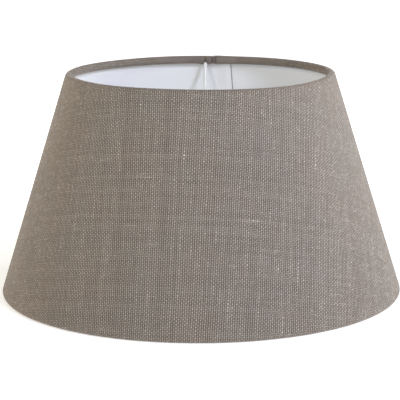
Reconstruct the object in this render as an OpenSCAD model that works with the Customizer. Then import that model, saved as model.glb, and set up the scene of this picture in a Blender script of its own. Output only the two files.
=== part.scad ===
// Tapered hard-back lamp shade: a linen cover on a stiff white liner, rolled over two wire rings,
// with a three-armed wire spider, a steel fitter ring and a loose reducer ring.
// Millimetres. +Z is up, z = 0 is the plane the bottom hem stands on, and the Z axis is the axis
// of the cone and of the lamp holder.

/* [Shade] */
// Outside diameter over the bottom hem
bottom_d = 300; // [250:1:400]
// Outside diameter over the top hem
top_d = 200.5; // [160:0.5:240]
// Height over both hems
height = 166; // [120:1:220]
// Radius of the rolled hems, measured to the outside of the cloth
hem_r = 3.1; // [2.9:0.05:3.6]

/* [Sheets] */
// Thickness of the linen
linen_t = 0.7; // [0.4:0.05:0.9]
// Thickness of the liner sheet
liner_t = 0.35; // [0.2:0.05:0.4]
// Width of the lap where the ends of the sheets overlap, as an angle round the axis
lap_angle = 8; // [4:0.5:14]
// Direction of the cover's outer end at the lap, round the axis
lap_azimuth = 86.3; // [60:0.1:87]

/* [Wire frame] */
// Diameter of the two rings' wire
ring_wire_d = 4; // [3:0.1:4]
// Thickness of the tape round the rings
ring_tape_t = 0.15; // [0.05:0.05:0.2]
// Diameter of the spider arms' wire
arm_wire_d = 2.6; // [2:0.1:3.5]
// Number of spider arms
arm_count = 3; // [3:1:3]
// How far the top of the fitter ring sits below the top of the shade
fitter_drop = 36; // [30:1:50]
// Slope of an arm's upper leg, from the vertical
arm_lean = 16; // [8:1:22]
// Radius of an arm's bend, to the middle of the wire
arm_bend_r = 9; // [6:1:14]

/* [Fitter] */
// Bore of the fitter ring
fitter_bore_d = 42; // [41:0.5:43]
// Outside diameter of the fitter ring
fitter_d = 53; // [50:1:58]
// Thickness of the fitter ring
fitter_t = 1.8; // [1.5:0.1:2.5]

/* [Reducer] */
// Bore of the reducer ring
reducer_bore_d = 29.5; // [29:0.5:31]
// Outside diameter of the reducer's flange
reducer_flange_d = 48; // [46:0.5:49]
// Thickness of the reducer's flange
reducer_flange_t = 1.5; // [1.2:0.1:2]
// Number of ribs under the reducer's flange
reducer_ribs = 6; // [3:1:12]

/* [Hidden] */
$fn = 180;

// Gap left between two neighbouring sheets, or a sheet and the tape beside it
gap = 0.05;
// Thickness of the tape in the lap seam
seam_tape_t = 0.1;

// The two hem circles, centres as [radius, z], and the taper of the cone that touches both
bottom_hem = [bottom_d / 2 - hem_r, hem_r];
top_hem = [top_d / 2 - hem_r, height - hem_r];
taper = atan((bottom_hem[0] - top_hem[0]) / (top_hem[1] - bottom_hem[1]));
slant = norm(top_hem - bottom_hem);

// Depths below the cone's outer face
liner_depth = linen_t + gap;
ring_depth = liner_depth + liner_t + gap + ring_tape_t + ring_wire_d / 2;
seam_tape_depth = liner_depth + liner_t + gap;
lap_linen_depth = seam_tape_depth + seam_tape_t + gap;
lap_liner_depth = lap_linen_depth + linen_t + gap;

// The roll of cloth runs from the outer face over the ring and stops this far short of the face again
hem_open_angle = 54;
// Step of the hem outlines
hem_step = 12;
// The liner ends this far past the middle of each ring, along the slant
liner_reach = 0.3;
// The lap's inner layers stop this far short of the middle of each ring, clear of the rolled hems
lap_margin = hem_r + 0.6;

// Angles of the step where the cover's and the liner's inner ends dive under their outer ends
seam_slot = 0.12;
linen_step = 0.45;
liner_step = 0.2;
step_gap = 0.08;

// The wire of the arms is pressed this deep into the ring and the fitter where it is welded
weld_depth = 0.25;
// The wire is this much thinner in the bend, and its straight stretches run this far into it
bend_thinning = 0.02;
bend_overlap = 0.2;
// Width and depth of the slit in the top hem that an arm comes out of
slit_w = arm_wire_d + 0.8;
slit_reach = hem_r + 1.2;

fitter_z = height - fitter_drop;
// An arm's end under the fitter ring stays this far outside its bore
arm_end_clearance = 0.9;

// Radial play of the reducer's collar in the fitter ring, and the air under its flange
reducer_play = 0.25;
reducer_air = 0.05;
reducer_wall = 1.5;
reducer_collar_h = 3.2;
reducer_boss_h = 5;
rib_w = 1.2;
rib_h = 2.4;

// A point at a depth below the outer face and a distance along the slant from the bottom hem's centre
function on_cone(depth, along) = bottom_hem
    + (hem_r - depth) * [cos(taper), sin(taper)]
    + along * [-sin(taper), cos(taper)];

// Points of an arc about a centre, between two angles
function arc(centre, r, from, to) =
    let (steps = ceil(abs(to - from) / hem_step))
    [for (i = [0 : steps])
        let (a = from + (to - from) * i / steps)
        centre + r * [cos(a), sin(a)]];

// Outline of a layer between two depths and two distances along the slant
function layer(depth, thickness, from, to) = [
    on_cone(depth, from), on_cone(depth + thickness, from),
    on_cone(depth + thickness, to), on_cone(depth, to)];

// Section of the cover: the straight wall with a roll of cloth at each end
function cover_outline() =
    let (roll = 360 - hem_open_angle)
    concat(
        arc(top_hem, hem_r, taper, taper + roll),
        arc(top_hem, hem_r - linen_t, taper + roll, taper),
        arc(bottom_hem, hem_r - linen_t, taper, taper - roll),
        arc(bottom_hem, hem_r, taper - roll, taper));

// A layer swept round the axis between two directions
module sector(outline, from, to) {
    rotate([0, 0, from])
        rotate_extrude(angle = to - from)
            polygon(outline);
}

// A layer of the lap, between the hems, or a cut for one that reaches a little further at both ends
module lap_layer(depth, thickness, from, to, further = 0) {
    sector(layer(depth, thickness, lap_margin - further, slant - lap_margin + further), from, to);
}

// Where a sheet steps down from one depth to another, from the middle of its thickness to the middle
module lap_step(upper_depth, lower_depth, thickness, from, to) {
    lap_layer(upper_depth + thickness / 2, lower_depth - upper_depth, from, to, further = -gap);
}

// Places its children at each arm's direction. The first arm points along +Y.
module at_arms() {
    for (i = [0 : arm_count - 1])
        rotate([0, 0, arm_azimuth(i)])
            children();
}

function arm_azimuth(i) = 90 + i * 360 / arm_count;

// Middle of the ring wire at the top and at the bottom, as [radius, z]
function ring_centre(along) = on_cone(ring_depth, along);

// The slits that the arms come out of, through the lower inner part of the top roll
module arm_slits() {
    centre = ring_centre(slant);
    at_arms()
        translate([centre[0] - slit_reach, -slit_w / 2, centre[1] - slit_reach])
            cube([slit_reach + ring_wire_d / 4, slit_w, slit_reach]);
}

module linen_cover() {
    step_from = lap_azimuth + seam_slot + step_gap / 2;
    step_to = lap_azimuth + linen_step;
    color("#857a6e")
    difference() {
        union() {
            rotate_extrude() polygon(cover_outline());
            lap_step(0, lap_linen_depth, linen_t, step_from, step_to);
            lap_layer(lap_linen_depth, linen_t, lap_azimuth - lap_angle, (step_from + step_to) / 2);
        }
        lap_layer(-linen_t, 2 * linen_t + gap, lap_azimuth, lap_azimuth + seam_slot, further = gap);
        arm_slits();
    }
}

module pvc_liner() {
    step_from = lap_azimuth + linen_step + step_gap;
    step_to = step_from + liner_step;
    color("#eceef2")
    difference() {
        union() {
            rotate_extrude()
                polygon(layer(liner_depth, liner_t, -liner_reach, slant + liner_reach));
            lap_step(liner_depth, lap_liner_depth, liner_t, step_from, step_to);
            lap_layer(lap_liner_depth, liner_t, lap_azimuth - lap_angle, (step_from + step_to) / 2);
        }
        lap_layer(0, seam_tape_depth, lap_azimuth - step_gap, step_from - step_gap / 2, further = gap);
    }
}

module seam_tape() {
    edge = 0.5;
    color("#d8cfa8")
    lap_layer(seam_tape_depth, seam_tape_t, lap_azimuth - lap_angle + edge, lap_azimuth - edge);
}

// A ring of wire about the axis
module wire_ring(centre) {
    color("#c9ccce")
    rotate_extrude()
        translate(centre)
            circle(d = ring_wire_d);
}

// The tape round a ring: a thin tube with the ring's wire inside
module ring_tape(centre) {
    rotate_extrude()
        translate(centre)
            difference() {
                circle(d = ring_wire_d + 2 * ring_tape_t);
                circle(d = ring_wire_d);
            }
}

module top_ring() {
    wire_ring(ring_centre(slant));
}

module bottom_ring() {
    wire_ring(ring_centre(0));
}

module top_ring_tape() {
    color("#e9e6dc")
    difference() {
        ring_tape(ring_centre(slant));
        arm_slits();
    }
}

module bottom_ring_tape() {
    color("#e9e6dc")
    ring_tape(ring_centre(0));
}

// One wire of the spider: a leg down from the top ring, a bend, and a run in to the fitter ring
module spider_arm(i) {
    r = arm_wire_d / 2;
    leg = [-sin(arm_lean), -cos(arm_lean)];
    top = ring_centre(slant) + (ring_wire_d / 2 - weld_depth) * leg;
    run_z = fitter_z - fitter_t - r + weld_depth;
    // The bend turns the leg into the level run, about this centre
    bend = 90 - arm_lean;
    leg_length = (top[1] - run_z - arm_bend_r * (1 - cos(bend))) / cos(arm_lean);
    knee = top + leg_length * leg;
    bend_centre = knee + arm_bend_r * [-cos(arm_lean), sin(arm_lean)];
    run_end = fitter_bore_d / 2 + arm_end_clearance;
    color("#e8eaec")
    rotate([0, 0, arm_azimuth(i)])
    union() {
        translate([knee[0], 0, knee[1]])
            rotate([0, arm_lean, 0])
                translate([0, 0, -bend_overlap])
                    cylinder(r = r, h = leg_length + bend_overlap);
        translate([bend_centre[0], 0, bend_centre[1]])
            rotate([90, 0, 0])
                rotate([0, 0, -90])
                    rotate_extrude(angle = bend)
                        translate([arm_bend_r, 0])
                            circle(r = r - bend_thinning);
        translate([run_end, 0, run_z])
            rotate([0, 90, 0])
                cylinder(r = r, h = bend_centre[0] - run_end + bend_overlap);
    }
}

module spider_arm_1() { spider_arm(0); }
module spider_arm_2() { spider_arm(1); }
module spider_arm_3() { spider_arm(2); }

// Flat ring with a round outer edge
module fitter_ring() {
    bore_r = fitter_bore_d / 2;
    edge_r = fitter_t / 2;
    color("#dfe2e4")
    translate([0, 0, fitter_z - fitter_t])
        rotate_extrude()
            union() {
                translate([bore_r, 0])
                    square([fitter_d / 2 - edge_r - bore_r, fitter_t]);
                translate([fitter_d / 2 - edge_r, edge_r])
                    circle(r = edge_r);
            }
}

// Flange with a collar that centres it in the fitter ring, a boss round its bore, and ribs between
module reducer_ring() {
    bore_r = reducer_bore_d / 2;
    collar_r = fitter_bore_d / 2 - reducer_play;
    flange_r = reducer_flange_d / 2;
    rib_start = bore_r + reducer_wall / 2;
    color("#f4f4f2")
    translate([0, 0, fitter_z + reducer_air])
        union() {
            rotate_extrude()
                union() {
                    translate([bore_r, 0])
                        square([flange_r - bore_r - reducer_flange_t / 2, reducer_flange_t]);
                    translate([flange_r - reducer_flange_t / 2, reducer_flange_t / 2])
                        circle(d = reducer_flange_t);
                    translate([bore_r, -reducer_boss_h])
                        square([reducer_wall, reducer_boss_h + reducer_flange_t / 2]);
                    translate([collar_r - reducer_wall, -reducer_collar_h])
                        square([reducer_wall, reducer_collar_h + reducer_flange_t / 2]);
                }
            for (i = [0 : reducer_ribs - 1])
                rotate([0, 0, i * 360 / reducer_ribs])
                    translate([rib_start, -rib_w / 2, -rib_h])
                        cube([collar_r - reducer_wall / 2 - rib_start, rib_w, rib_h + reducer_flange_t / 2]);
        }
}

linen_cover();
pvc_liner();
seam_tape();
top_ring();
bottom_ring();
top_ring_tape();
bottom_ring_tape();
spider_arm_1();
spider_arm_2();
spider_arm_3();
fitter_ring();
reducer_ring();
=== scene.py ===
"""The looks of a hard-back lamp shade: linen laminated to a white PVC liner, both hems rolled round wire
rings, with a three-armed spider that carries a fitter ring and a loose reducer ring.

The CAD model is the frame. The linen and the liner are rebuilt here as lapped strips of cloth and sheet.
The rings, tapes, arms, fitter and reducer keep their CAD shapes and get their finishes here.
Lengths are in metres and angles in degrees. An azimuth is an angle round the shade, counted from +X.
"""

import math

import bpy
import numpy as np
from mathutils import Matrix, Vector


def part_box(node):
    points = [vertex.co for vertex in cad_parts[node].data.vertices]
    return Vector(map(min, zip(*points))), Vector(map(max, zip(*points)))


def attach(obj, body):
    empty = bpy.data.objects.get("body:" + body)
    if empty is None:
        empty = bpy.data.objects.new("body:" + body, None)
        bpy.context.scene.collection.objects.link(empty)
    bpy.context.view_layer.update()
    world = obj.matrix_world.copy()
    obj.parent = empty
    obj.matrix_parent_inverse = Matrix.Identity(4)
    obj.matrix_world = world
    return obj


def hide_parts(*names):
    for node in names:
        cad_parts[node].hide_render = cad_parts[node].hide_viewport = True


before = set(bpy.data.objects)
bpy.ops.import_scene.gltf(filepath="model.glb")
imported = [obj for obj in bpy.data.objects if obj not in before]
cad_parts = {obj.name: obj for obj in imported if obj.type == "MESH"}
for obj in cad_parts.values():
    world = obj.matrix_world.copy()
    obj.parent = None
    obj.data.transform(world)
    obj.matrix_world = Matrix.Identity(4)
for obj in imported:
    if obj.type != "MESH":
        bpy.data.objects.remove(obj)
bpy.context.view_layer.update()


# ---------------------------------------------------------------- sizes

MM = 0.001

# The laminate: linen outside, glued to a stiff liner
HEM_R = 3.1 * MM  # outer radius of the cloth rolled round a ring
CLOTH_T = 0.7 * MM
LINER_T = 0.35 * MM
BOND = 0.05 * MM  # the glue line between linen and liner
HEM_TURN = 306.0  # how far round the ring the cloth is rolled
HEM_ARC = math.radians(HEM_TURN) * HEM_R
PINCH = 0.62 * MM  # the depth of the creases in the hems, at the seam and above each slit

# The lap, where the laminate's outer end covers its inner end
LAP_EDGE = 86.3  # azimuth of the outer end's folded edge
LAP_ANGLE = 8.0  # how far the two ends lap
LAP_SINK = 1.3 * MM  # how deep the inner end lies under the outer end
LAP_RISE = 0.85 * MM  # how far the outer end rides up over the inner end
FOLD_T = 0.35 * MM  # how much thicker the outer end is where its edge is folded under

# The slits in the top hem that let the arms out
ARM_AZIMUTHS = (90.0, 210.0, 330.0)
SLIT_TURN = 210.0  # how far round the ring the cloth is rolled at the top of a slit
SLIT_HALF_WIDTH = 1.15  # at the cloth's edge, as an angle round the shade
SLIT_DROOP = 0.9 * MM  # how far the corners of cloth beside a slit hang down

# The cone between the middles of the two hems, as (radius, height), from the frame
bottom_ring_low, bottom_ring_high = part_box("bottom_ring")
top_ring_low, top_ring_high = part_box("top_ring")
cover_low, cover_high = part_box("linen_cover")


def hem_middle(ring_low, ring_high, height):
    """The middle of a hem, as (radius, height), from its ring's box."""
    return np.array([ring_high.x - (ring_high.z - ring_low.z) / 2, height])


bottom_hem = hem_middle(bottom_ring_low, bottom_ring_high, cover_low.z + HEM_R)
top_hem = hem_middle(top_ring_low, top_ring_high, cover_high.z - HEM_R)

slant_vector = top_hem - bottom_hem
SLANT = float(np.hypot(*slant_vector))
up_slant = slant_vector / SLANT
outward = np.array([up_slant[1], -up_slant[0]])
SIN_TAPER = float(outward[1])
APEX_TO_BOTTOM = float((bottom_hem + HEM_R * outward)[0]) / SIN_TAPER
MEAN_RADIUS = 0.12  # of the whole shade, near enough to turn small angles into lengths

# Points up the sheets' meshes: round each rolled hem, up the linen's wall, and up the liner
ROLL_COLUMNS = 23
WALL_COLUMNS = 15
LINER_COLUMNS = 25

STRIP_START = LAP_EDGE - LAP_ANGLE  # azimuth of the inner end's free edge
STRIP_END = LAP_EDGE + 360
GRAIN_AZIMUTH = (STRIP_START + STRIP_END) / 2  # the threads run straight up opposite the lap


# ---------------------------------------------------------------- mesh building

def ramp(x, low, high):
    """0 below low, 1 above high, and a smooth step between."""
    share = np.clip((np.asarray(x, float) - low) / (high - low), 0, 1)
    return share * share * (3 - 2 * share)


def hump(x, middle, width):
    """1 at the middle, fading smoothly to 0 on both sides."""
    return np.exp(-(((x - middle) / width) ** 2))


def around(azimuth, radius, height):
    """Points at an azimuth in degrees, a radius and a height."""
    angle = np.radians(azimuth)
    return np.stack([radius * np.cos(angle), radius * np.sin(angle), height], axis=-1)


def new_object(name, points, faces, uv, uv_name="cloth"):
    """A smooth-shaded mesh object, with one pair of flat cloth coordinates for each vertex."""
    mesh = bpy.data.meshes.new(name)
    mesh.from_pydata(points.tolist(), [], faces.tolist())
    layer = mesh.uv_layers.new(name=uv_name)
    corner_vertices = np.zeros(len(mesh.loops), np.int32)
    mesh.loops.foreach_get("vertex_index", corner_vertices)
    layer.data.foreach_set("uv", uv[corner_vertices].astype(np.float32).ravel())
    mesh.shade_smooth()
    mesh.set_sharp_from_angle(angle=math.radians(50))
    obj = bpy.data.objects.new(name, mesh)
    bpy.context.scene.collection.objects.link(obj)
    return obj


def thick_sheet(name, outer, inner, uv):
    """A closed sheet between two grids of points: rows run round the shade, columns run up it."""
    rows, columns = outer.shape[:2]
    index = np.arange(rows * columns).reshape(rows, columns)
    a, b, c, d = index[:-1, :-1], index[1:, :-1], index[1:, 1:], index[:-1, 1:]
    faces = [
        np.stack([a, b, c, d], axis=-1).reshape(-1, 4),
        np.stack([d, c, b, a], axis=-1).reshape(-1, 4) + rows * columns,
    ]
    border = np.concatenate([index[:-1, 0], index[-1, :-1], index[:0:-1, -1], index[0, :0:-1]])
    rim = np.stack([border, border + rows * columns], axis=-1)
    following = np.roll(rim, -1, axis=0)
    faces.append(np.stack([rim[:, 0], rim[:, 1], following[:, 1], following[:, 0]], axis=-1))
    points = np.concatenate([outer.reshape(-1, 3), inner.reshape(-1, 3)])
    flat = np.concatenate([uv.reshape(-1, 2), uv.reshape(-1, 2)])
    return new_object(name, points, np.concatenate(faces), flat)


# ---------------------------------------------------------------- the laminate's shape

def lap_depth(azimuth):
    """How far the inner end sinks under the outer end, from its free edge to where it is flush."""
    return LAP_SINK * (1 - ramp(azimuth, STRIP_START + 1.7, LAP_EDGE - 0.9))


def lap_lift(azimuth):
    """How far the outer end rides up over the inner end."""
    return LAP_RISE * ramp(azimuth, STRIP_END - 11, STRIP_END - 1.8)


def hem_wander(azimuth, share):
    """How far a point sits above its true place, at a share of the way up: the top hem isn't level."""
    wrapped = np.mod(azimuth, 360)
    angle = np.radians(azimuth)
    waves = 0.25 * np.sin(2 * angle + 0.6) + 0.15 * np.sin(3 * angle + 2.0)
    waves = waves + 0.06 * np.sin(7 * angle + 1.1)
    dips = 0.7 * hump(wrapped, 313, 18) + 0.4 * hump(wrapped, 225, 20)
    return MM * share * (waves - dips)


def stations(start, end, step, close_ups):
    """Azimuths from start to end, closer together within each (azimuth, reach, step) of close_ups."""
    found = [np.arange(start, end, step), [end]]
    for azimuth, reach, fine in close_ups:
        found.append(np.arange(azimuth - reach, azimuth + reach + fine / 2, fine))
    found = np.unique(np.round(np.concatenate(found), 4))
    return found[(found >= start) & (found <= end)]


def flat_place(azimuth, along):
    """Where a point lies on the laminate laid out flat: a cone unrolls to part of a ring."""
    from_apex = APEX_TO_BOTTOM - along
    angle = np.radians(azimuth - GRAIN_AZIMUTH) * SIN_TAPER
    return np.stack([from_apex * np.sin(angle), -from_apex * np.cos(angle)], axis=-1)


def on_path(along, depth):
    """The radius and height of a point on the laminate. Along is 0 at the bottom ring and SLANT at the
    top ring, and runs on round the rings beyond. Depth is how far it lies under the outer face."""
    taper = math.atan2(outward[1], outward[0])
    turned = np.where(along < 0, along, np.where(along > SLANT, along - SLANT, 0)) / HEM_R
    level = np.clip(along, 0, SLANT)
    reach = HEM_R - depth
    radius = bottom_hem[0] + level * up_slant[0] + reach * np.cos(taper + turned)
    height = bottom_hem[1] + level * up_slant[1] + reach * np.sin(taper + turned)
    return radius, height


def from_arm(azimuth):
    """The angle to the nearest arm."""
    return np.min([np.abs(azimuth - arm) for arm in ARM_AZIMUTHS], axis=0)


def top_hem_turn(azimuth):
    """How far the top hem is rolled. Each slit is widest at the cloth's edge and has a round end."""
    return SLIT_TURN + (HEM_TURN - SLIT_TURN) * np.clip(from_arm(azimuth) / SLIT_HALF_WIDTH, 0, 1) ** 4


def slit_droop(azimuth, along):
    """The two corners of cloth beside an arm hang a little below the rest of the hem."""
    turned = np.degrees((along - SLANT) / HEM_R)
    beside_arm = 1 - ramp(from_arm(azimuth), 1.0, 4.5)
    return SLIT_DROOP * beside_arm * ramp(turned, 190, 270)


def hem_crease_and_shade(azimuth, along, on_ring):
    """How creased the rolled cloth is, 0 to 1: beside the lap's folded edge, and above each slit. It
    dents the cloth and sets its painted shade.
    """
    wrapped = np.mod(azimuth, 360)
    after_edge = 0.9 * hump(wrapped, LAP_EDGE + 0.35, 0.35)
    before_edge = 0.7 * hump(wrapped, LAP_EDGE - 1.2, 0.3)
    turned = np.degrees((along - SLANT) / HEM_R)
    above_slit = hump(from_arm(azimuth), 0, 0.45) * ramp(turned, 110, 150)
    return np.clip((after_edge + before_edge) * on_ring + above_slit, 0, 1)


def make_cover():
    """The linen: a strip that laps over itself at the back, its long edges rolled round the rings."""
    roll_start = LAP_EDGE - 2.4  # the inner end isn't rolled where it lies under the outer end
    roll_whole = LAP_EDGE - 1.6
    close_ups = [(arm, 1.6, 0.1) for arm in ARM_AZIMUTHS]
    close_ups += [(STRIP_START, 1, 0.25), ((roll_start + roll_whole) / 2, 1.2, 0.1)]
    close_ups += [(LAP_EDGE + 0.5, 1.5, 0.1), (STRIP_END, 2, 0.05)]
    azimuth = stations(STRIP_START, STRIP_END, 1.0, close_ups)[:, None]

    rolled = ramp(azimuth, roll_start, roll_whole)
    unrolled_margin = HEM_R + 0.6 * MM
    low_end = rolled * -HEM_ARC + (1 - rolled) * unrolled_margin
    top_arc = np.radians(top_hem_turn(azimuth)) * HEM_R
    high_end = SLANT + rolled * top_arc - (1 - rolled) * unrolled_margin
    wall_margin = (1 - rolled) * 2 * unrolled_margin

    roll_share = np.linspace(0, 1, ROLL_COLUMNS)[None, :]
    wall_share = np.linspace(0, 1, WALL_COLUMNS)[None, 1:-1]
    wall_low, wall_high = wall_margin, SLANT - wall_margin
    along = np.concatenate(
        [
            low_end + (wall_low - low_end) * roll_share,
            wall_low + (wall_high - wall_low) * wall_share,
            wall_high + (high_end - wall_high) * roll_share,
        ],
        axis=1,
    )

    from_edge = np.radians(STRIP_END - azimuth) * MEAN_RADIUS
    rounding = np.clip(from_edge / (0.6 * CLOTH_T), 0, 1)  # the folded edge is round
    fold = FOLD_T * ramp(azimuth, STRIP_END - 3.4, STRIP_END - 2.9)
    half = CLOTH_T / 2 * np.sqrt(1 - (1 - rounding) ** 2 * 0.9) + fold / 2
    radians_beyond = np.maximum(-along, along - SLANT) / HEM_R
    on_ring = ramp(radians_beyond, 0, 0.9)
    lump = (lap_lift(azimuth) + fold / 2) * (1 - 0.8 * on_ring)  # the lap is pulled tight over the rings
    crease_and_shade = hem_crease_and_shade(azimuth, along, on_ring)
    middle = CLOTH_T / 2 + lap_depth(azimuth) - lump + PINCH * crease_and_shade
    share = np.clip(along / SLANT, 0, 1)
    lift = hem_wander(azimuth, share) - slit_droop(azimuth, along)
    grids = []
    for depth in (middle - half, middle + half):
        radius, height = on_path(along, depth)
        height = np.maximum(height + lift, cover_low.z)  # the lap's thick end is flat where it stands
        grids.append(around(azimuth, radius, height))
    cloth = thick_sheet("linen_cloth", grids[0], grids[1], flat_place(azimuth, along))
    # The linen's material paints shade into the creases by this attribute, one value for each vertex
    stored = cloth.data.attributes.new("crease_and_shade", "FLOAT", "POINT")
    stored.data.foreach_set("value", np.tile(crease_and_shade.ravel(), 2).astype(np.float32))
    return cloth


def make_liner():
    """The white PVC sheet behind the linen, lapped with it. Its inner end's free edge shows inside."""
    start, end = STRIP_START + 0.15, STRIP_END - 6.5
    azimuth = stations(start, end, 1.0, [(STRIP_START, 3, 0.25)])[:, None]
    margin = 0.3 * MM
    along = np.linspace(margin, SLANT - margin, LINER_COLUMNS)[None, :] + 0 * azimuth
    depth = CLOTH_T + BOND + lap_depth(azimuth)
    lift = hem_wander(azimuth, np.clip(along / SLANT, 0, 1))
    grids = []
    for layer in (depth, depth + LINER_T):
        radius, height = on_path(along, layer)
        grids.append(around(azimuth, radius, height + lift))
    return thick_sheet("liner_sheet", grids[0], grids[1], flat_place(azimuth, along))


# ---------------------------------------------------------------- materials

class Finish:
    """A node material built step by step. Each method that adds a node returns what comes out of it."""

    def __init__(self, name):
        self.material = bpy.data.materials.new(name)
        self.material.use_nodes = True
        self.tree = self.material.node_tree
        self.tree.nodes.clear()

    def add(self, kind, inputs=None, **settings):
        node = self.tree.nodes.new("ShaderNode" + kind)
        for key, value in settings.items():
            setattr(node, key, value)
        for key, value in (inputs or {}).items():
            if isinstance(value, bpy.types.NodeSocket):
                self.tree.links.new(value, node.inputs[key])
            else:
                node.inputs[key].default_value = value
        return node

    def math(self, operation, *values, clamp=False):
        return self.add("Math", dict(enumerate(values)), operation=operation, use_clamp=clamp).outputs[0]

    def vector(self, x, y, z=0.0):
        return self.add("CombineXYZ", {0: x, 1: y, 2: z}).outputs[0]

    def split(self, vector):
        return self.add("SeparateXYZ", {0: vector}).outputs

    def noise(self, vector, scale, detail=2.0, roughness=0.5):
        inputs = {"Vector": vector, "Scale": scale, "Detail": detail, "Roughness": roughness}
        return self.add("TexNoise", inputs).outputs[0]

    def random(self, value):
        """One random number from 0 to 1 for each whole number."""
        return self.add("TexWhiteNoise", {"W": value}, noise_dimensions="1D").outputs[0]

    def remap(self, value, from_low, from_high, to_low, to_high, kind="LINEAR"):
        inputs = {0: value, 1: from_low, 2: from_high, 3: to_low, 4: to_high}
        return self.add("MapRange", inputs, interpolation_type=kind).outputs[0]

    def mix(self, factor, first, second, blend="MIX"):
        inputs = {0: factor, 6: first, 7: second}
        return self.add("Mix", inputs, data_type="RGBA", blend_type=blend).outputs[2]

    def bump(self, height, strength, distance, normal=None):
        inputs = {"Height": height, "Strength": strength, "Distance": distance}
        if normal is not None:
            inputs["Normal"] = normal
        return self.add("Bump", inputs).outputs[0]

    def close(self, **inputs):
        """Ends the material with its shader, whose inputs are named in lower case with underscores."""
        named = {}
        for key, value in inputs.items():
            named[key.replace("_", " ").title().replace("Ior", "IOR")] = value
        shader = self.add("BsdfPrincipled", named)
        self.add("OutputMaterial", {0: shader.outputs[0]})
        return self.material


def linen():
    """Plain-woven linen: warp up the shade, weft round it, uneven threads, slubs, and shiny crossings."""
    warp_pitch, weft_pitch = 1.5 * MM, 1.23 * MM
    f = Finish("linen")
    flat = f.split(f.add("UVMap", uv_map="cloth").outputs[0])
    place = f.vector(flat[0], flat[1])

    def thread_count(coordinate, pitch, seed):
        """Counts threads across the cloth. The threads wander a little from straight."""
        wander = f.noise(f.vector(flat[0], flat[1], seed), 35.0, 2.0)
        return f.math("MULTIPLY_ADD", wander, 0.9, f.math("DIVIDE", coordinate, pitch))

    def thread(count, along, seed, shift):
        """How round a thread is here, from 0 at its edge to 1 at its middle, and how much lighter than
        usual. The seed sets the random numbers, and the shift lightens every thread."""
        number = f.math("FLOOR", count)
        chance = f.random(f.math("ADD", number, seed))
        slub_place = f.vector(f.math("MULTIPLY", number, 3.7), f.math("MULTIPLY", along, 28.0), seed)
        slub = f.noise(slub_place, 1.0, 3.0, 0.6)
        fibre_place = f.vector(f.math("MULTIPLY", count, 2.5), f.math("MULTIPLY", along, 900.0), seed)
        fibre = f.noise(fibre_place, 1.0, 2.0)

        half_width = f.math("MULTIPLY_ADD", chance, 0.05, f.remap(slub, 0.3, 0.7, 0.38, 0.50))
        across = f.math("DIVIDE", f.math("SUBTRACT", f.math("FRACT", count), 0.5), half_width)
        across_squared = f.math("MULTIPLY", across, across)
        roundness = f.math("SQRT", f.math("SUBTRACT", 1.0, across_squared, clamp=True))

        uneven_dye = f.remap(chance, 0, 1, -0.12, 0.12)
        lightness = f.math("ADD", uneven_dye, f.remap(slub, 0.3, 0.7, -0.07, 0.07))
        pale_slub = f.remap(slub, 0.64, 0.72, 0, 0.5)  # only the thickest
        lightness = f.math("ADD", lightness, pale_slub)
        lightness = f.math("ADD", lightness, f.remap(fibre, 0.3, 0.7, -0.10, 0.10))
        return roundness, f.math("ADD", lightness, shift)

    warp_count = thread_count(flat[0], warp_pitch, 0.0)
    weft_count = thread_count(flat[1], weft_pitch, 5.0)
    warp_round, warp_light = thread(warp_count, flat[1], 0.0, 0.12)
    weft_round, weft_light = thread(weft_count, flat[0], 500.0, -0.12)

    # At every other crossing the wave lifts the warp and lowers the weft, and between them the reverse
    wave = f.math(
        "MULTIPLY",
        f.math("SINE", f.math("MULTIPLY", warp_count, math.pi)),
        f.math("SINE", f.math("MULTIPLY", weft_count, math.pi)),
    )
    warp_height = f.math("MULTIPLY", warp_round, f.math("MULTIPLY_ADD", wave, 0.3, 0.7))
    weft_height = f.math("MULTIPLY", weft_round, f.math("MULTIPLY_ADD", wave, -0.3, 0.6))
    height = f.math("MAXIMUM", warp_height, weft_height)
    warp_on_top = f.math("GREATER_THAN", warp_height, weft_height)
    on_top = {0: warp_on_top, 2: weft_light, 3: warp_light}
    lightness = f.add("Mix", on_top, data_type="FLOAT").outputs[0]

    # Each crossing has its own random number, which makes a few of them shiny: a lower roughness, and a
    # painted highlight that makes their colour paler
    crossing = f.vector(f.math("FLOOR", warp_count), f.math("FLOOR", weft_count))
    chance = f.add("TexWhiteNoise", {"Vector": crossing}, noise_dimensions="2D").outputs[0]
    painted_glint_chance = f.remap(chance, 0.85, 1.0, 0, 0.6)
    painted_glints = f.math("MULTIPLY", painted_glint_chance, f.remap(lightness, 0.0, 0.5, 0.1, 1.0))
    rough = f.remap(chance, 0.6, 0.95, 0.85, 0.42)

    # Painted shade and highlight: the valleys between threads are painted dark and warm, and the tops of
    # the threads light and greyer
    depth_shade = f.remap(f.math("POWER", height, 2.0), 0.1, 0.75, 0.08, 1.5)
    brightness = f.math("MULTIPLY", f.math("ADD", f.math("ADD", lightness, painted_glints), 1.0), depth_shade)
    patchy = f.remap(f.noise(place, 24.0, 3.0, 0.55), 0.35, 0.65, 0, 1)
    valley_shade_tone = f.mix(patchy, (0.208, 0.151, 0.104, 1), (0.195, 0.154, 0.108, 1))
    top_tone = f.mix(patchy, (0.178, 0.152, 0.130, 1), (0.172, 0.153, 0.132, 1))
    tone = f.mix(f.remap(brightness, 0.3, 1.2, 0, 1), valley_shade_tone, top_tone)

    # Painted shade: the creases beside the lap's edge and the hole above each slit are darkened in the
    # colour
    crease_and_shade = f.add("Attribute", attribute_name="crease_and_shade").outputs["Fac"]
    brightness = f.math("MULTIPLY", brightness, f.remap(crease_and_shade, 0, 1, 1, 0.12))
    colour = f.mix(1.0, tone, f.vector(brightness, brightness, brightness), "MULTIPLY")

    return f.close(
        base_color=colour,
        roughness=rough,
        normal=f.bump(height, 0.8, 0.35 * MM),
        specular_ior_level=0.5,
        sheen_weight=0.3,
        sheen_roughness=0.4,
        sheen_tint=(1.0, 0.90, 0.78, 1),
    )


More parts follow.
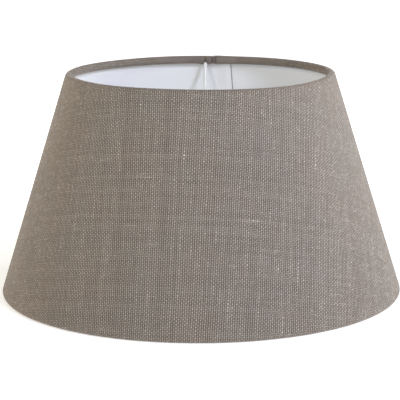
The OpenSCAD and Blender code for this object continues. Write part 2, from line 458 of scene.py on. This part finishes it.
def satin_pvc():
    """The liner's white satin PVC, with a faint calendered grain and slow waves."""
    f = Finish("satin_pvc")
    place = f.add("UVMap", uv_map="cloth").outputs[0]
    clouds = f.noise(place, 18.0, 3.0)
    grain = f.noise(place, 1400.0, 2.0)
    colour = f.mix(clouds, (0.71, 0.72, 0.74, 1), (0.75, 0.755, 0.76, 1))
    rough = f.remap(grain, 0.3, 0.7, 0.42, 0.55)
    normal = f.bump(grain, 0.25, 0.03 * MM, f.bump(clouds, 0.4, 0.6 * MM))
    return f.close(base_color=colour, roughness=rough, normal=normal, specular_ior_level=0.4)


def hard_finish(name, colour, rough, grain_scale, grain_depth, metallic=0.0, spread=0.04):
    """A moulded, coated or drawn surface: its colour drifts a little, and it has a fine grain."""
    f = Finish(name)
    place = f.add("TexCoord").outputs["Object"]
    drift = f.noise(place, 60.0, 3.0)
    grain = f.noise(place, grain_scale, 2.0)
    dark = [channel * (1 - spread) for channel in colour] + [1]
    light = [min(1, channel * (1 + spread)) for channel in colour] + [1]
    shade = f.mix(drift, dark, light)
    roughness = f.remap(grain, 0.3, 0.7, rough - 0.06, rough + 0.08)
    normal = f.bump(grain, 0.5, grain_depth)
    return f.close(base_color=shade, roughness=roughness, normal=normal, metallic=metallic)


def glued_tissue():
    """White double-sided tape: a fibrous tissue, a little yellow from its glue."""
    f = Finish("tissue_tape")
    place = f.add("TexCoord").outputs["Object"]
    fibres = f.noise(place, 900.0, 4.0, 0.7)
    colour = f.mix(fibres, (0.66, 0.62, 0.52, 1), (0.80, 0.78, 0.72, 1))
    rough = f.remap(fibres, 0.3, 0.7, 0.6, 0.85)
    return f.close(base_color=colour, roughness=rough, normal=f.bump(fibres, 0.4, 0.05 * MM))


def finish_nodes(names, material):
    """Gives CAD nodes a better finish through their material slots."""
    for name in names:
        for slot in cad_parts[name].material_slots:
            slot.material = material


# ---------------------------------------------------------------- the pieces

cover = make_cover()
cover.data.materials.append(linen())
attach(cover, "shade")
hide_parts("linen_cover")

liner = make_liner()
liner.data.materials.append(satin_pvc())
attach(liner, "shade")
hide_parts("pvc_liner")

powder_coat = hard_finish("powder_coat", (0.72, 0.72, 0.70), 0.38, 1500.0, 0.03 * MM)
plate_coat = hard_finish("plate_coat", (0.85, 0.85, 0.84), 0.36, 1200.0, 0.03 * MM)
moulded_plastic = hard_finish("moulded_plastic", (0.82, 0.82, 0.80), 0.42, 2500.0, 0.02 * MM)
steel_grey = (0.30, 0.30, 0.31)
drawn_steel = hard_finish("drawn_steel", steel_grey, 0.35, 700.0, 0.02 * MM, metallic=1.0, spread=0.12)

finish_nodes(["spider_arm_1", "spider_arm_2", "spider_arm_3"], powder_coat)
finish_nodes(["fitter_ring"], plate_coat)
finish_nodes(["reducer_ring"], moulded_plastic)
finish_nodes(["top_ring", "bottom_ring"], drawn_steel)
finish_nodes(["top_ring_tape", "bottom_ring_tape", "seam_tape"], glued_tissue())


# ---------------------------------------------------------------- the studio

FLOOR_GLOW_NEAR = 0.5
FLOOR_GLOW_FAR = 0.75
LIGHT_DISTANCE = 2.0

CAMERA_LENS = 154.9  # in millimetres, on a sensor 36 mm wide
CAMERA_DISTANCE = 1.26755
CAMERA_HEIGHT = 0.32917
CAMERA_PLACE = 2.5  # how far the camera stands to the right of straight in front
CAMERA_TURN = 2.527
CAMERA_PITCH = -11.615
CAMERA_ROLL = -0.29


def soft_box(name, turn, rise, size, watts, colour):
    """A square light that faces the shade, turned to the right from straight in front, and raised."""
    data = bpy.data.lights.new(name, "AREA")
    data.shape = "SQUARE"
    data.size = size
    data.energy = watts
    data.color = colour
    light = bpy.data.objects.new(name, data)
    bpy.context.scene.collection.objects.link(light)
    turn, rise = math.radians(turn), math.radians(rise)
    light.location = (
        LIGHT_DISTANCE * math.sin(turn) * math.cos(rise),
        -LIGHT_DISTANCE * math.cos(turn) * math.cos(rise),
        LIGHT_DISTANCE * math.sin(rise) + cover_high.z / 2,
    )
    light.rotation_euler = (math.pi / 2 - rise, 0, turn)


def make_floor():
    """A pale floor that fills the view. It glows as a light table does, more so away from the shade."""
    reach, drop = 12.0, 0.2 * MM
    corners = np.array([[-1, -1], [1, -1], [1, 1], [-1, 1]]) * reach
    points = np.concatenate([corners, np.full((4, 1), cover_low.z - drop)], axis=1)
    floor = new_object("floor", points, np.array([[0, 1, 2, 3]]), corners, "floor")
    f = Finish("pale_floor")
    place = f.add("TexCoord").outputs["Object"]
    clouds = f.noise(place, 1.5, 2.0)
    colour = f.mix(clouds, (0.84, 0.84, 0.84, 1), (0.87, 0.87, 0.87, 1))
    distance = f.add("VectorMath", {0: place}, operation="LENGTH").outputs["Value"]
    glow = f.remap(distance, 0.12, 0.6, FLOOR_GLOW_NEAR, FLOOR_GLOW_FAR, "SMOOTHSTEP")
    emission = f.vector(glow, glow, glow)
    material = f.close(base_color=colour, roughness=0.9, emission_color=emission, emission_strength=1.0)
    floor.data.materials.append(material)


def make_surround():
    """A white band round the horizon under a dimmer ceiling, as in a light tent."""
    world = bpy.data.worlds.new("studio")
    world.use_nodes = True
    nodes, links = world.node_tree.nodes, world.node_tree.links
    place = nodes.new("ShaderNodeTexCoord")
    split = nodes.new("ShaderNodeSeparateXYZ")
    fade = nodes.new("ShaderNodeMapRange")
    fade.interpolation_type = "SMOOTHSTEP"
    # From the sine of the angle above the horizon to the light's strength
    fade_ends = {"From Min": 0.15, "From Max": 0.45, "To Min": 1.0, "To Max": 0.1}
    for key, value in fade_ends.items():
        fade.inputs[key].default_value = value
    links.new(place.outputs["Generated"], split.inputs[0])
    links.new(split.outputs["Z"], fade.inputs["Value"])
    links.new(fade.outputs[0], nodes["Background"].inputs["Strength"])
    nodes["Background"].inputs["Color"].default_value = (1, 1, 1, 1)
    bpy.context.scene.world = world


def make_camera():
    """A long lens that looks at the shade from in front and a little above."""
    data = bpy.data.cameras.new("camera")
    data.sensor_width = 36
    data.lens = CAMERA_LENS
    camera = bpy.data.objects.new("camera", data)
    bpy.context.scene.collection.objects.link(camera)
    place = math.radians(CAMERA_PLACE)
    right, back = CAMERA_DISTANCE * math.sin(place), CAMERA_DISTANCE * math.cos(place)
    camera.location = (right, -back, CAMERA_HEIGHT)
    turn = Matrix.Rotation(math.radians(CAMERA_TURN), 3, "Z")
    tilt = Matrix.Rotation(math.radians(90 + CAMERA_PITCH), 3, "X")
    roll = Matrix.Rotation(math.radians(CAMERA_ROLL), 3, "Z")
    camera.rotation_euler = (turn @ tilt @ roll).to_euler()
    bpy.context.scene.camera = camera


make_floor()
make_surround()
make_camera()
soft_box("key_light", 41, 30, 0.45, 28, (0.75, 0.80, 1.0))
soft_box("fill_light", -29, 30, 0.25, 10, (1.0, 0.95, 0.77))
soft_box("top_light", 0, 85, 1.6, 6, (0.95, 1.0, 0.88))
soft_box("right_rim_light", 110, 15, 1.4, 29, (1.0, 0.96, 0.94))
soft_box("left_rim_light", -110, 15, 1.4, 10, (1.0, 0.68, 0.42))

bpy.context.scene.view_settings.view_transform = "Standard"
